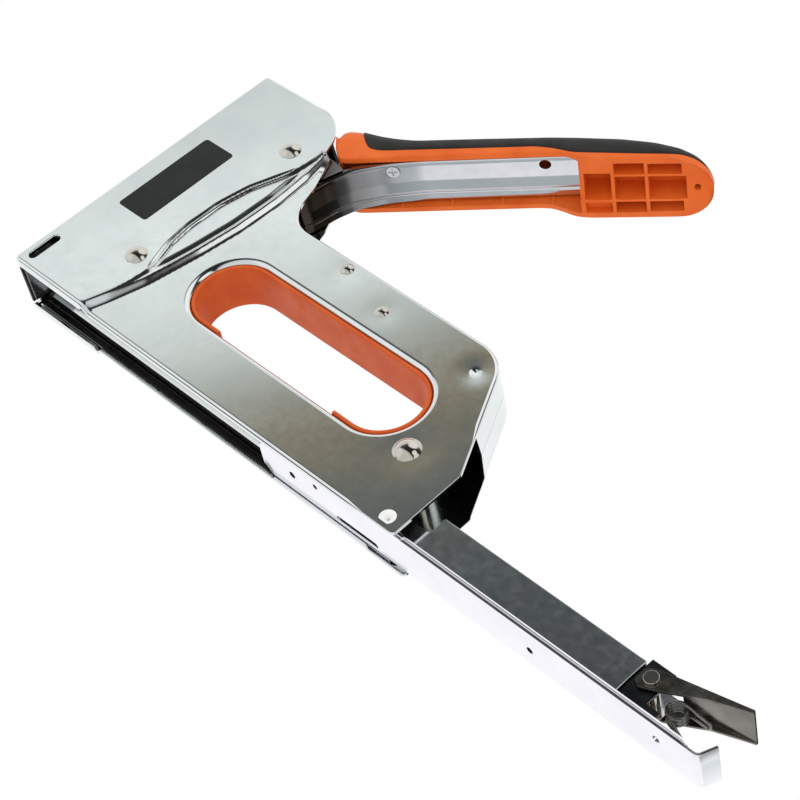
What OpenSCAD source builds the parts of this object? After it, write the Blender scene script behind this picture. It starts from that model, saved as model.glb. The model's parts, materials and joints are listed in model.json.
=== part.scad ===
// Hand staple gun with a squeeze lever and a magazine drawer that pulls out at the back.
// +X runs from the nose to the back, +Z up, y = 0 is the mid-plane. Millimetres.
// The origin is at the nose: front face, bottom edge, mid-plane.
// The lever stands open and the magazine drawer is pulled out.

/* [Body] */
// Half width of the body shells
body_half = 9.5; // [9.3:0.1:11]
// Half width of the raised head panels
head_half = 11.4; // [11.2:0.1:13]
// Sheet thickness of the shells
sheet = 1; // [0.8:0.1:1.2]
// Height of the head
head_h = 106; // [104:1:110]
// Height of the fixed handle's top
handle_h = 65.2; // [64:0.2:67]
// Width of the inward flanges along the bottom edge
bottom_lip = 2.2; // [1:0.1:2.3]

/* [Finger window] */
// X of the window's front end
window_x0 = 54.6; // [54:0.2:58]
// X of the window's back end
window_x1 = 147.8; // [140:0.2:149]
// Z of the window's lower edge
window_z0 = 19.8; // [19:0.2:22]
// Z of the window's upper edge
window_z1 = 46.6; // [44:0.2:48]
// Wall of the plastic liner
liner_t = 1.2; // [0.8:0.1:1.6]

/* [Lever] */
// X of the lever's pivot
pivot_x = 34.8; // [33:0.2:36]
// Z of the lever's pivot
pivot_z = 85.6; // [84:0.2:87]
// Angle of the open lever above the horizontal
lever_angle = 39.2; // [36:0.2:42]
// Half width of the lever's steel arm
arm_half = 8.15; // [7.8:0.05:8.2]
// Thickness of the lever's steel
arm_t = 1.6; // [1.2:0.1:2]
// Half width of the plastic grip
grip_half = 10.7; // [10.4:0.1:11.2]

/* [Power spring] */
// Mean radius of the power spring
spring_r = 6.3; // [5.5:0.1:6.4]
// Wire diameter of the power spring
spring_wire = 2.2; // [1.8:0.1:2.3]
// Turns of the power spring
spring_turns = 6; // [4:1:8]

/* [Magazine drawer] */
// X of the drawer's front end when it is pulled out
drawer_x0 = 115; // [114:1:118]
// X of the drawer's back hook when it is pulled out
drawer_x1 = 282; // [280:1:284]
// Half width of the drawer's bottom channel
drawer_half = 7; // [6.6:0.1:7]
// Height of the drawer's dark housing
housing_h = 14.6; // [13:0.2:15]

/* [Hidden] */
$fn = 48;

gap = 0.3;                      // clearance between pieces that move past each other
seam = 0.05;                    // half of the gap where the two shells meet
inner_half = body_half - sheet; // inside face of the body panels
head_inner = head_half - sheet;
track_half = 8.1;               // outside half width of the magazine track
track_top = 16.4;               // top of the magazine track
drawer_z = 0.9;                 // underside of the drawer
drawer_t = 0.8;                 // sheet of the drawer
blade_x0 = 2.2;                 // front face of the driver blade
blade_x1 = 3.4;
blade_half = 6.2;
spring_x = 16.5;                // axis of the power spring
spring_z0 = 35.7;               // lower end of the power spring
spring_z1 = 71.2;               // upper end of the power spring
rail_half = 4.3;                // half width of the inner staple rail
rod_z = 6;                      // height of the pusher rod
latch_x = 256;                  // axis of the latch
latch_z = 10.8;
screw_u = -8.9;                 // place of the grip screw along the arm
hole_u = 38.9;                  // place of the arm's locating hole
screw_y = -5.2;
arm_end = 49.1;                 // end of the steel arm along the lever
grip_nose = 79.8;               // centre of the grip's round end along the lever
head_rivet_spot = [31.6, 24.6];
rear_rivet_spot = [154.3, 23.3];
handle_rivet_spots = [[87.8, 61.4], [109.4, 55.5]];
catch_hole = [167.6, 3.5];      // hole at the back lower corner
slot_x = 4.6;                   // sight slot near the nose
slot_z = [4.5, 13.3];

// Corners of outlines are [x, z, radius], counter-clockwise.
head_outline = [
  [0, 0, 1.5], [34, 0, 2.5], [40.5, 20, 25], [49.5, 54, 70], [44.8, 88, 8], [42.2, head_h, 18],
  [0, head_h, 1]
];
body_outline = [
  [36, 0, 0], [173.2, 0, 1], [172.8, 26, 3], [150.9, handle_h, 15], [57, handle_h, 12],
  [51.8, 79.5, 14], [45.5, 91, 1.5], [38, 91, 0]
];
// Side view of the steel arm's lower face, from the root up to the straight part.
arm_curve = [[44.5, 72], [49, 75.5], [51.2, 82], [54, 91], [60, 100.5], [69.5, 108.7]];
// Outlines along the lever: u runs out along the arm, w stands up from it.
grip_outline = [
  [-26.5, 1.2, 1], [-22.9, -2.2, 1], [38, -2.6, 6], [47.5, -7.6, 6], [91, -8.6, 2], [90, -4, 8],
  [84, 4, 12], [62, 10.2, 60], [36, 12.2, 60], [4, 12.2, 40], [-14, 16, 30], [-28, 17.4, 4]
];
cover_outline = [
  [-20, 17.8, 0], [-17.6, 6.1, 3], [-12, 3, 4], [36, 2.4, 10], [48, -1, 10], [86, -3.8, 0],
  [98, 6, 0], [90, 20, 0], [-20, 24, 0]
];

function flat(p) = [p[0], p[1]];
function unit(v) = v / norm(v);
// Points of the arc that rounds corner b between a and c with radius r.
function corner_arc(a, b, c, r, n) =
  let(u = unit(a - b), v = unit(c - b), half = acos(u * v) / 2, m = b + unit(u + v) * (r / sin(half)),
      p = b + u * (r / tan(half)) - m, q = b + v * (r / tan(half)) - m,
      start = atan2(p[1], p[0]), turn = atan2(q[1], q[0]) - start,
      sweep = turn > 180 ? turn - 360 : turn < -180 ? turn + 360 : turn)
  [for (i = [0:n]) m + r * [cos(start + sweep * i / n), sin(start + sweep * i / n)]];
// Outline with each corner rounded by its own radius.
function rounded(pts, n = 6) =
  [for (i = [0:len(pts) - 1])
    let(k = len(pts), b = pts[i])
    each (b[2] == 0 ? [flat(b)] : corner_arc(flat(pts[(i + k - 1) % k]), flat(b),
                                              flat(pts[(i + 1) % k]), b[2], n))];
// Outline moved inwards by d, with the radii kept concentric.
function inset(pts, d) =
  [for (i = [0:len(pts) - 1])
    let(k = len(pts), b = flat(pts[i]), u = unit(b - flat(pts[(i + k - 1) % k])),
        v = unit(flat(pts[(i + 1) % k]) - b), nu = [-u[1], u[0]], nv = [-v[1], v[0]],
        p = b + (nu + nv) * d / (1 + nu * nv), bend = u[0] * v[1] - u[1] * v[0] > 0 ? 1 : -1)
    [p[0], p[1], pts[i][2] == 0 ? 0 : max(0, pts[i][2] - bend * d)]];
// Line of sheet metal with thickness t to its left.
function sheet_line(pts, t) =
  let(k = len(pts) - 1,
      side = [for (i = [0:k])
        let(u = unit(pts[i] - pts[max(0, i - 1)] + (i == 0 ? [0, 0.001] : [0, 0])),
            v = unit(pts[min(k, i + 1)] - pts[i] + (i == k ? pts[k] - pts[k - 1] : [0, 0])),
            w = i == 0 ? v : unit(u + v))
        pts[i] + t * [-w[1], w[0]]])
  concat(pts, [for (i = [k:-1:0]) side[i]]);

// Extrudes an outline drawn in X and Z from y0 to y1.
module slab(y0, y1) translate([0, y1, 0]) rotate([90, 0, 0]) linear_extrude(y1 - y0) children();
module box(x0, x1, y0, y1, z0, z1) translate([x0, y0, z0]) cube([x1 - x0, y1 - y0, z1 - z0]);
// Round bar along Y.
module bar_y(x, z, r, y0, y1) translate([x, y1, z]) rotate([90, 0, 0]) cylinder(r = r, h = y1 - y0);
// Round bar along X.
module bar_x(y, z, r, x0, x1) translate([x0, y, z]) rotate([0, 90, 0]) cylinder(r = r, h = x1 - x0);
// Domed rivet head that stands out along Y from the face at y, on the side given by dir.
module dome(x, z, r, h, y, dir)
  translate([x, y, z]) rotate([-90 * dir, 0, 0]) intersection() {
    ball = (r * r + h * h) / (2 * h);
    translate([0, 0, h - ball]) sphere(r = ball, $fn = 96);
    cylinder(r = r, h = h);
  }
module on_arm() translate([69.5, 0, 108.7]) rotate([0, -lever_angle, 0]) children();

// Finger window as a rectangle with nearly round ends.
module window(grow) {
  r = (window_z1 - window_z0) / 2 + grow;
  z = (window_z0 + window_z1) / 2;
  for (x = [window_x0 - grow + r, window_x1 + grow - r]) translate([x, z]) circle(r = r, $fn = 96);
  translate([window_x0 - grow + r, z - r]) square([window_x1 - window_x0 + 2 * grow - 2 * r, 2 * r]);
}

// ---- shells ----
// Left shell; its mirror image is the right one. Panels, edge walls and bottom flanges.
module shell() {
  head_in = rounded(inset(head_outline, sheet));
  body_in = rounded(inset(body_outline, sheet));
  difference() {
    union() {
      slab(-head_half, -head_inner) polygon(rounded(head_outline));
      // step from the head panel down to the body panel, and the head's front and top walls
      slab(-head_inner - seam, -inner_half) difference() {
        polygon(rounded(head_outline));
        polygon(head_in);
      }
      slab(-inner_half - seam, -seam) difference() {
        polygon(rounded(head_outline));
        polygon(head_in);
        translate([29, -1]) square([40, 98.5]);
        translate([-1, -1]) square([60, 4]);
      }
      slab(-body_half, -inner_half) difference() {
        polygon(rounded(body_outline));
        polygon(head_in);
      }
      // top and back walls of the fixed handle
      slab(-inner_half - seam, -seam) difference() {
        polygon(rounded(body_outline));
        polygon(body_in);
        translate([30, -1]) square([170, 32]);
        translate([30, 70]) square([40, 30]);
        translate([30, 0]) square([27, 100]);
      }
      // rim around the finger window, down to the mid-plane
      slab(-inner_half - seam, -seam) difference() {
        window(sheet);
        window(0);
      }
      box(2, 33, -head_inner - seam, -head_inner + bottom_lip, 0, sheet);
      box(38, 158, -inner_half - seam, -body_half + bottom_lip, 0, sheet);
    }
    slab(-20, 0) window(0);
    slab(-20, -body_half + 0.5) {
      for (z = slot_z) translate([slot_x, z]) circle(r = 1.5);
      translate([slot_x - 1.5, slot_z[0]]) square([3, slot_z[1] - slot_z[0]]);
    }
    bar_y(pivot_x, pivot_z, 2.5, -20, 0);
    bar_y(head_rivet_spot[0], head_rivet_spot[1], 2.5, -20, 0);
    for (p = handle_rivet_spots) bar_y(p[0], p[1], 1.5, -20, 0);
    bar_y(rear_rivet_spot[0], rear_rivet_spot[1], 2.2, -20, 0);
    bar_y(catch_hole[0], catch_hole[1], 2.6, -20, 0);
  }
}
module left_shell() color("silver") shell();
module right_shell() color("gainsboro") mirror([0, 1, 0]) shell();

// C-shaped liner along the top and both ends of the finger window.
module window_liner() color("orangered") slab(-body_half - 0.4, body_half + 0.4) difference() {
  window(0);
  window(-liner_t);
  translate([75.5, window_z0 - 1]) square([51, 8]);
}

// ---- fixed inner pieces ----
module nose_plate() color("dimgray")
  box(sheet + seam, blade_x0 - 0.1, -7.4, 7.4, 0, 30);

module blade_guide() color("gray") difference() {
  union() {
    box(blade_x1 + 0.1, 30, -8.3, 8.3, 17, 24);
    box(blade_x1 + 0.1, 5.4, -8.3, 8.3, 9, 17.1);
    box(26, 36, -head_inner, head_inner, 20, 29);
  }
  bar_y(head_rivet_spot[0], head_rivet_spot[1], 2.5, -20, 20);
}

// Rivet through both shells with a domed head on each side.
module rivet(x, z, shank, r, h, half) {
  bar_y(x, z, shank, -half, half);
  for (dir = [-1, 1]) dome(x, z, r, h, dir * half, dir);
}
module lever_pivot_rivet() color("silver") rivet(pivot_x, pivot_z, 2.5, 3.7, 1.9, head_half);
module head_rivet() color("silver")
  rivet(head_rivet_spot[0], head_rivet_spot[1], 2.5, 3.7, 1.9, head_half);
module handle_rivets() color("silver") {
  for (p = handle_rivet_spots) rivet(p[0], p[1], 1.5, 2.3, 1.2, body_half);
}
module rear_rivet() color("silver")
  rivet(rear_rivet_spot[0], rear_rivet_spot[1], 2.2, 4.3, 2.3, body_half);

// Inverted channel in the bottom of the body that guides the drawer.
module magazine_track() color("dimgray") difference() {
  box(5.6, 138, -track_half, track_half, 1.2, track_top);
  box(5, 139, -drawer_half - gap, drawer_half + gap, 0, track_top - sheet);
}

// ---- striker ----
module spring_seat() color("dimgray") {
  box(8.5, 27, -head_inner, head_inner, spring_z1 + 0.2, spring_z1 + 2);
  translate([spring_x, 0, spring_z1 - 4]) cylinder(r = spring_r - spring_wire / 2 - gap, h = 4.3);
}
module rebound_bumper() color("black")
  box(9, 25, -7.5, 7.5, 24, 31.2);
module striker_carrier() color("slategray") difference() {
  union() {
    box(blade_x1 + 0.1, 7.4, -7, 7, 31.5, 88);
    box(7.3, 25, -8, 8, 31.5, 35.5);
    translate([spring_x, 0, 35.4]) cylinder(r = spring_r - spring_wire / 2 - gap, h = 4);
  }
  box(3, 8, -4.2, 4.2, 74, 84.5);
}
module driver_blade() color("lightsteelblue")
  box(blade_x0, blade_x1, -blade_half, blade_half, 0.6, 60);

// Round wire swept along a helix; turn k of a ring lies at k * pitch.
module coil(radius, wire, turns, length, steps = 20, sides = 8) {
  rise = (length - wire) / (turns * steps);
  ring = [for (i = [0:turns * steps]) for (s = [0:sides - 1])
    let(a = 360 * i / steps, b = 360 * s / sides, q = radius + wire / 2 * cos(b))
    [q * cos(a), q * sin(a), wire / 2 + rise * i + wire / 2 * sin(b)]];
  last = turns * steps * sides;
  polyhedron(ring, concat(
    [[for (s = [sides - 1:-1:0]) s]],
    [[for (s = [0:sides - 1]) last + s]],
    [for (i = [0:turns * steps - 1]) for (s = [0:sides - 1])
      let(a = i * sides + s, b = i * sides + (s + 1) % sides)
      each [[a, b + sides, a + sides], [a, b, b + sides]]]
  ));
}
module power_spring() color("darkgray") translate([spring_x, 0, spring_z0])
  coil(spring_r, spring_wire, spring_turns, spring_z1 - spring_z0);

// ---- lever ----
module lever_arm() color("lightgray") difference() {
  union() {
    slab(-arm_half, arm_half) polygon(sheet_line(arm_curve, arm_t));
    on_arm() {
      box(-0.8, arm_end, -arm_half, arm_half, 0, arm_t);
      for (y = [-arm_half, arm_half - arm_t]) box(2, arm_end, y, y + arm_t, 0, 2.4);
    }
    // cheeks that carry the pivot, and the tongue that lifts the striker
    for (y = [-arm_half, arm_half - arm_t]) slab(y, y + arm_t)
      polygon([[28.5, 84], [31, 79.5], [44.4, 72], [49, 75.6], [51, 82], [53.8, 91], [51, 92.5],
               [41, 92], [33, 91.6], [29.5, 89]]);
    slab(-3.6, 3.6) polygon([[5.2, 77.6], [5.6, 74.9], [9, 74.9], [34, 80.6], [41, 83], [40, 88.6],
                            [33, 90], [28, 86], [7, 78.9]]);
    bar_y(pivot_x, pivot_z, 5, -arm_half, arm_half);
  }
  bar_y(pivot_x, pivot_z, 2.55, -20, 20);
  on_arm() {
    translate([screw_u, screw_y, -4]) cylinder(r = 1.3, h = 9);
    translate([screw_u, screw_y, -2]) cylinder(r = 2.3, h = 2);
    translate([hole_u, screw_y, -4]) cylinder(r = 1.9, h = 9);
  }
}

// Rounds the grip's outer end in plan.
module grip_plan() intersection() {
  children();
  translate([0, 0, -12]) union() {
    translate([grip_nose, 0, 0]) cylinder(r = grip_half, h = 40, $fn = 96);
    translate([-40, -grip_half, 0]) cube([40 + grip_nose, 2 * grip_half, 40]);
  }
}
module grip_core() difference() {
  slab(-grip_half + 1.5, grip_half - 1.5) polygon(rounded(inset(grip_outline, 1.8)));
  box(-40, -20.5, -20, 20, 5, 30);
}
module lever_grip() color("orangered") on_arm() difference() {
  grip_plan() union() {
    difference() {
      slab(-grip_half, grip_half) polygon(rounded(grip_outline));
      slab(-grip_half - 1, grip_half + 1) polygon(rounded(cover_outline));
    }
    grip_core();
  }
  // hollow for the steel arm and the room above it
  slab(-8.5, 8.5) polygon([[-40, -12], [arm_end + 0.3, -12], [arm_end + 0.3, 2.7], [-13, 2.7],
                           [-23, 6.5], [-40, 6.5]]);
  difference() {
    box(-11.5, arm_end - 2, -7.4, 7.4, 2, 8);
    translate([screw_u, screw_y, 0]) cylinder(r = 2.8, h = 9);
    for (u = [8, 24, 40]) box(u, u + 1.2, -7.5, 7.5, 4.5, 9);
  }
  translate([screw_u, screw_y, 0]) cylinder(r = 1.3, h = 7);
  // open pockets under the outer end
  box(51, 59, -7.6, 7.6, -9, 3);
  for (u = [60.2, 70.4]) for (y = [-8.2, -2.4, 3.4]) box(u, u + 9, y, y + 4.8, -9, 1.5);
  translate([83.8, 0, -9]) cylinder(r = 1.1, h = 6);
}
module grip_cover() color("#3a3936") on_arm() difference() {
  grip_plan() intersection() {
    slab(-grip_half, grip_half) polygon(rounded(grip_outline));
    slab(-grip_half - 1, grip_half + 1) polygon(rounded(cover_outline));
  }
  cover_core();
}
// Room that the cover leaves for the grip's core.
module cover_core()
  slab(-grip_half + 1.45, grip_half - 1.45) polygon(rounded(inset(grip_outline, 1.75)));

module lever_screw() color("silver") on_arm() translate([screw_u, screw_y, 0]) difference() {
  union() {
    translate([0, 0, -1.1]) cylinder(r = 2.2, h = 1.1);
    translate([0, 0, -0.1]) cylinder(r = 1.3, h = 6.6);
  }
  for (a = [0, 90]) rotate(a) translate([-1.4, -0.25, -2]) cube([2.8, 0.5, 1.5]);
}

// ---- magazine drawer ----
module drawer_channel() color("whitesmoke") difference() {
  union() {
    slab(-drawer_half, drawer_half)
      polygon([[drawer_x0, drawer_z], [drawer_x1 - 4, drawer_z], [drawer_x1 - 2.7, drawer_z + 0.4],
               [drawer_x1 - 1.8, drawer_z + 1.5], [drawer_x1, 6.1], [drawer_x1 - 0.75, 6.4],
               [drawer_x1 - 2.6, drawer_z + 1.9], [drawer_x1 - 3.1, drawer_z + 1.2],
               [drawer_x1 - 4, drawer_z + drawer_t], [drawer_x0, drawer_z + drawer_t]]);
    for (y = [-drawer_half, drawer_half - drawer_t])
      box(drawer_x0 + 2, drawer_x1 - 6, y, y + drawer_t, drawer_z, 2.1);
  }
  // tapered front end, small holes and the window under the spring
  for (dir = [-1, 1]) translate([drawer_x0, dir * drawer_half, 0]) rotate(45)
    cube([4.2, 4.2, 12], center = true);
  translate([128.5, -0.4, 0]) cylinder(r = 0.9, h = 4);
  translate([138.9, -3.8, 0]) cylinder(r = 0.9, h = 4);
  translate([222, 0.5, 0]) cylinder(r = 1, h = 4);
  translate([265.8, -1.2, 0]) cylinder(r = 1, h = 4);
  box(147, 168, 0.2, 4, 0, 4);
}
module drawer_housing() color("dimgray") difference() {
  box(178, 251, -drawer_half + drawer_t + 0.05, drawer_half - drawer_t - 0.05, 1.7, housing_h);
  box(177, 252, -drawer_half + 2 * drawer_t, drawer_half - 2 * drawer_t, 1, housing_h - drawer_t);
}
// Inner channel that the staples straddle, open at the top for the pusher's tab.
module staple_rail() color("lightgray") difference() {
  box(drawer_x0 + 1, 251.4, -rail_half, rail_half, 1.7, 9.2);
  box(drawer_x0 + 1.8, 250.6, -rail_half + drawer_t, rail_half - drawer_t, 2.5, 12);
}
module pusher_rod() color("silver") bar_x(0, rod_z, 1, drawer_x0 + 1.8, 250.6);
module pusher_spring() color("darkgray") translate([130.5, 0, rod_z]) rotate([0, 90, 0])
  coil(2.1, 0.8, 20, 119.6, 12, 6);
// Saddle that pushes the staples; a block inside the rail rides on the rod.
module staple_pusher() color("gray") difference() {
  box(119, 130, -5.2, 5.2, 2.1, 10.9);
  difference() {
    box(118, 131, -rail_half - 0.15, rail_half + 0.15, 1, 9.5);
    box(119, 130, -2.8, 2.8, 3.2, 9.6);
  }
  bar_x(0, rod_z, 1.06, 110, 140);
}
// ---- latch ----
module latch_bracket() color("gray") difference() {
  union() {
    box(251.5, 259.5, -5.7, 5.7, 1.7, 16.1);
    box(255, 264, -5.7, 5.7, 1.7, 5.2);
  }
  box(252.3, 265, -4.9, 4.9, 2.5, 17);
  bar_y(latch_x, latch_z, 1.5, -20, 20);
}
module latch_pin() color("silver") {
  bar_y(latch_x, latch_z, 1.5, -7, 7);
  for (y = [-7.9, 7]) bar_y(latch_x, latch_z, 2.1, y, y + 0.9);
}
// Side view of the latch lever's cheeks, then the top web.
latch_side = [[252.7, 8.4, 1], [254.8, 7, 1], [258.6, 8.6, 1], [270.7, 15.2, 0], [281.7, 19.2, 0],
              [281.6, 20.2, 0.3], [256.2, 14.4, 2.4], [252.7, 12.6, 1.6]];
module latch_lever() color("#5a5048") difference() {
  slab(-6.9, 6.9) polygon(rounded(latch_side));
  slab(-6.1, 6.1) polygon([[250, 3], [258, 3], [283, 17], [283, 19.7], [262, 14.9], [262, 20], [250, 20]]);
  bar_y(latch_x, latch_z, 1.56, -20, 20);
  translate([266.3, -5.9, 16.5]) rotate([0, -13, 0]) cube([7, 1.6, 3], center = true);
}
module rod(a, b) hull() for (p = [a, b]) translate(p) sphere(r = 0.45, $fn = 16);
module latch_spring() color("silver") {
  translate([264.3, 2.1, 10.2]) rotate([90, 0, 0]) coil(2.6, 0.9, 3, 4.2, 16, 6);
  // a hairpin leg under the lever's web and one on the drawer's floor
  for (y = [-1.4, 1.4]) {
    rod([263.9, y, 12.7], [273, y, 12.7]);
    rod([262.6, y, 8.2], [272, y, 4.2]);
  }
  rod([273, -1.4, 12.7], [273, 1.4, 12.7]);
  rod([272, -1.4, 4.2], [272, 1.4, 4.2]);
}

left_shell();
right_shell();
window_liner();
nose_plate();
blade_guide();
lever_pivot_rivet();
head_rivet();
handle_rivets();
rear_rivet();
magazine_track();
spring_seat();
rebound_bumper();
striker_carrier();
driver_blade();
power_spring();
lever_arm();
lever_grip();
grip_cover();
lever_screw();
drawer_channel();
drawer_housing();
staple_rail();
pusher_rod();
pusher_spring();
staple_pusher();
latch_bracket();
latch_pin();
latch_lever();
latch_spring();
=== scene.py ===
# Hand staple gun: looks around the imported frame. Lengths are in millimetres until a mesh is made.
import json
import math

import bmesh
import bpy
import numpy as np
from mathutils import Matrix, Vector, geometry


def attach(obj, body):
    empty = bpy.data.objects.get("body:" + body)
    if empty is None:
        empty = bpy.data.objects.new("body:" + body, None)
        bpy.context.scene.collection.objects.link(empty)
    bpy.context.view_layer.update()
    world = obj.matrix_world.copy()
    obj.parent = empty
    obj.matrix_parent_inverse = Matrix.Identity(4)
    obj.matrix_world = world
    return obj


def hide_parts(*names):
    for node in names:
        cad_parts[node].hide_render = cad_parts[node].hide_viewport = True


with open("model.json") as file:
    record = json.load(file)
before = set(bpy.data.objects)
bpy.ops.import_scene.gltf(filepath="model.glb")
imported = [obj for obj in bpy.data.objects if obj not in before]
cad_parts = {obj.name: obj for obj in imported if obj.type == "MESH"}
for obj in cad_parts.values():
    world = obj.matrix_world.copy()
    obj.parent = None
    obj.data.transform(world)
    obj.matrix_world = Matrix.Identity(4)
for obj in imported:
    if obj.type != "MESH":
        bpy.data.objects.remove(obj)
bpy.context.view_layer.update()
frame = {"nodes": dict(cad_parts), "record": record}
nodes = frame["nodes"]
mm = 0.001
bpy.context.scene.view_settings.view_transform = "Standard"
print("frame loaded:", len(nodes), "nodes")


# colours and nodes
def linear(hexColour):
    # each channel: divided by 12.92 when dark, otherwise ((c + 0.055) / 1.055) to the power 2.4
    c = np.array([int(hexColour[i:i + 2], 16) for i in (1, 3, 5)]) / 255
    c = np.where(c <= 0.04045, c / 12.92, ((c + 0.055) / 1.055) ** 2.4)
    return (*c.tolist(), 1.0)


def addNode(tree, kind, links=None, **values):
    # one node: values set its fields, or its inputs when the name starts with "in"; links join sockets
    node = tree.nodes.new(kind)
    for name, value in values.items():
        if name.startswith("in"):
            key = name[2:].replace("_", " ").strip()
            node.inputs[int(key) if key.isdigit() else key].default_value = value
        else:
            setattr(node, name, value)
    for name, socket in (links or {}).items():
        tree.links.new(socket, node.inputs[name])
    return node


def colourRamp(tree, source, stops):
    ramp = addNode(tree, "ShaderNodeValToRGB", {"Fac": source})
    while len(ramp.color_ramp.elements) < len(stops):
        ramp.color_ramp.elements.new(0.5)
    for element, (place, colour) in zip(ramp.color_ramp.elements, stops):
        element.position = place
        element.color = linear(colour) if isinstance(colour, str) else colour
    return ramp.outputs["Color"]


def newMaterial(name, metallic, **sockets):
    material = bpy.data.materials.new(name)
    material.use_nodes = True
    tree = material.node_tree
    shader = tree.nodes["Principled BSDF"]
    shader.inputs["Metallic"].default_value = metallic
    for key, value in sockets.items():
        shader.inputs[key.replace("_", " ")].default_value = value
    place = addNode(tree, "ShaderNodeTexCoord").outputs["Object"]
    return material, tree, shader, place


def noise(tree, place, size, detail=3.0, rough=0.55, stretch=(1, 1, 1)):
    # noise whose blobs are about size millimetres across
    turned = addNode(tree, "ShaderNodeMapping", {"Vector": place}, inScale=stretch).outputs[0]
    node = addNode(tree, "ShaderNodeTexNoise", {"Vector": turned},
                   inScale=1 / (size * mm), inDetail=detail, inRoughness=rough)
    return node.outputs[0]


def spread(tree, source, low, high, toLow, toHigh):
    node = addNode(tree, "ShaderNodeMapRange", {"Value": source}, inFrom_Min=low, inFrom_Max=high,
                   inTo_Min=toLow, inTo_Max=toHigh)
    return node.outputs[0]


def relief(tree, height, depth, normal=None):
    links = {"Height": height}
    if normal is not None:
        links["Normal"] = normal
    return addNode(tree, "ShaderNodeBump", links, inStrength=1.0, inDistance=depth * mm).outputs[0]


def bareMetal(name, colours, rough, wave, grain, stretch=(1, 1, 1)):
    # metal: a slow drift between two tints, gloss that varies with hand marks, long waves from the
    # press and a fine grain; wave and grain are (size, depth) in millimetres
    material, tree, shader, place = newMaterial(name, 1.0)
    drift = noise(tree, place, 14, 2)
    tree.links.new(colourRamp(tree, drift, [(0.3, colours[0]), (0.7, colours[1])]),
                   shader.inputs["Base Color"])
    marks = noise(tree, place, 3.2, 5, 0.65, stretch)
    tree.links.new(spread(tree, marks, 0.35, 0.7, rough[0], rough[1]), shader.inputs["Roughness"])
    swell = relief(tree, noise(tree, place, wave[0], 1), wave[1])
    fine = relief(tree, noise(tree, place, grain[0], 3, 0.6, stretch), grain[1], swell)
    tree.links.new(fine, shader.inputs["Normal"])
    return material


def mouldedPlastic(name, colours, rough, grain):
    # moulded plastic or rubber: faint cloudiness, a fine spark-eroded grain and rubbed glossier spots
    material, tree, shader, place = newMaterial(name, 0.0, Specular_IOR_Level=0.22)
    cloud = noise(tree, place, 9, 3)
    tree.links.new(colourRamp(tree, cloud, [(0.3, colours[0]), (0.72, colours[1])]),
                   shader.inputs["Base Color"])
    rubbed = noise(tree, place, 5, 4, 0.6)
    tree.links.new(spread(tree, rubbed, 0.35, 0.7, rough[0], rough[1]), shader.inputs["Roughness"])
    swell = relief(tree, noise(tree, place, 6, 1), 0.02)
    tree.links.new(relief(tree, noise(tree, place, grain[0], 2), grain[1], swell),
                   shader.inputs["Normal"])
    return material


# pressed steel sheet, polished and bright chrome plated
shellChrome = bareMetal("chromePlatedShell", ("#EDF0EF", "#E4E8E7"),
                        (0.07, 0.12), (22, 0.010), (0.9, 0.0006))
leverChrome = bareMetal("chromePlatedLever", ("#ECEDF0", "#E2E4E8"),
                        (0.07, 0.15), (16, 0.01), (0.7, 0.001))
drawerChrome = bareMetal("zincPlatedDrawer", ("#FBFAFE", "#F3F2F8"),
                         (0.10, 0.18), (18, 0.01), (0.5, 0.0015))
# painted reflection: the arm's base colour is darkened towards its root, blended along x + 0.8 z, standing in for
# the dark chrome reflection there; it stays in every view; guess: a darker tint towards the arm's root, blended
# along x + 0.8 z; it stays in every view
tree = leverChrome.node_tree
shader = tree.nodes["Principled BSDF"]
place = addNode(tree, "ShaderNodeTexCoord").outputs["Object"]
parts = addNode(tree, "ShaderNodeSeparateXYZ", {0: place}).outputs
reach = addNode(tree, "ShaderNodeMath", {0: parts[2], 2: parts[0]}, operation="MULTIPLY_ADD", in1=0.8)
bright = shader.inputs["Base Color"].links[0].from_socket
paintedReflectionFade = spread(tree, reach.outputs[0], 0.118, 0.158, 0, 1)
paintedReflectionMix = addNode(tree, "ShaderNodeMix", {"Factor": paintedReflectionFade}, data_type="RGBA")
# painted reflection: the dark colour painted at the arm's root
paintedReflectionMix.inputs[6].default_value = linear("#4A4039")
tree.links.new(bright, paintedReflectionMix.inputs[7])
tree.links.new(paintedReflectionMix.outputs[2], shader.inputs["Base Color"])
# nickel plated, cold headed
rivetNickel = bareMetal("nickelRivet", ("#D9D5CB", "#C9C4B8"), (0.07, 0.14), (3, 0.01), (0.5, 0.001))
# strip steel, rolled and thinly plated
housingSteel = bareMetal("platedHousing", ("#CDD2D4", "#C2C6C8"), (0.12, 0.2), (16, 0.008), (0.5, 0.0006))
latchSteel = bareMetal("blackNickelLatch", ("#8A8780", "#6C6962"), (0.12, 0.24), (5, 0.02), (0.6, 0.002))
darkSteel = bareMetal("oiledSteel", ("#4A4644", "#363331"), (0.25, 0.4), (8, 0.02), (0.5, 0.003))
springWire = bareMetal("drawnSpringWire", ("#9A9994", "#7D7C78"),
                       (0.18, 0.3), (6, 0.01), (0.3, 0.002), (1, 1, 0.3))
toolSteel = bareMetal("groundToolSteel", ("#B9BCC0", "#A6A9AE"),
                      (0.18, 0.3), (9, 0.01), (0.3, 0.002), (0.2, 1, 1))
screwZinc = bareMetal("zincScrew", ("#DCDDE0", "#C4C6CB"), (0.12, 0.25), (2, 0.01), (0.3, 0.002))
linerPlastic = mouldedPlastic("orangeLiner", ("#C64F18", "#D05E24"), (0.42, 0.56), (0.35, 0.006))
gripPlastic = mouldedPlastic("orangeGrip", ("#D85C1A", "#E26B28"), (0.38, 0.52), (0.35, 0.006))
gripRubber = mouldedPlastic("blackGripRubber", ("#222120", "#2D2C2A"), (0.55, 0.7), (0.3, 0.01))
bumperRubber = mouldedPlastic("bumperRubber", ("#1C1B1A", "#262524"), (0.6, 0.75), (0.3, 0.01))
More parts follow.
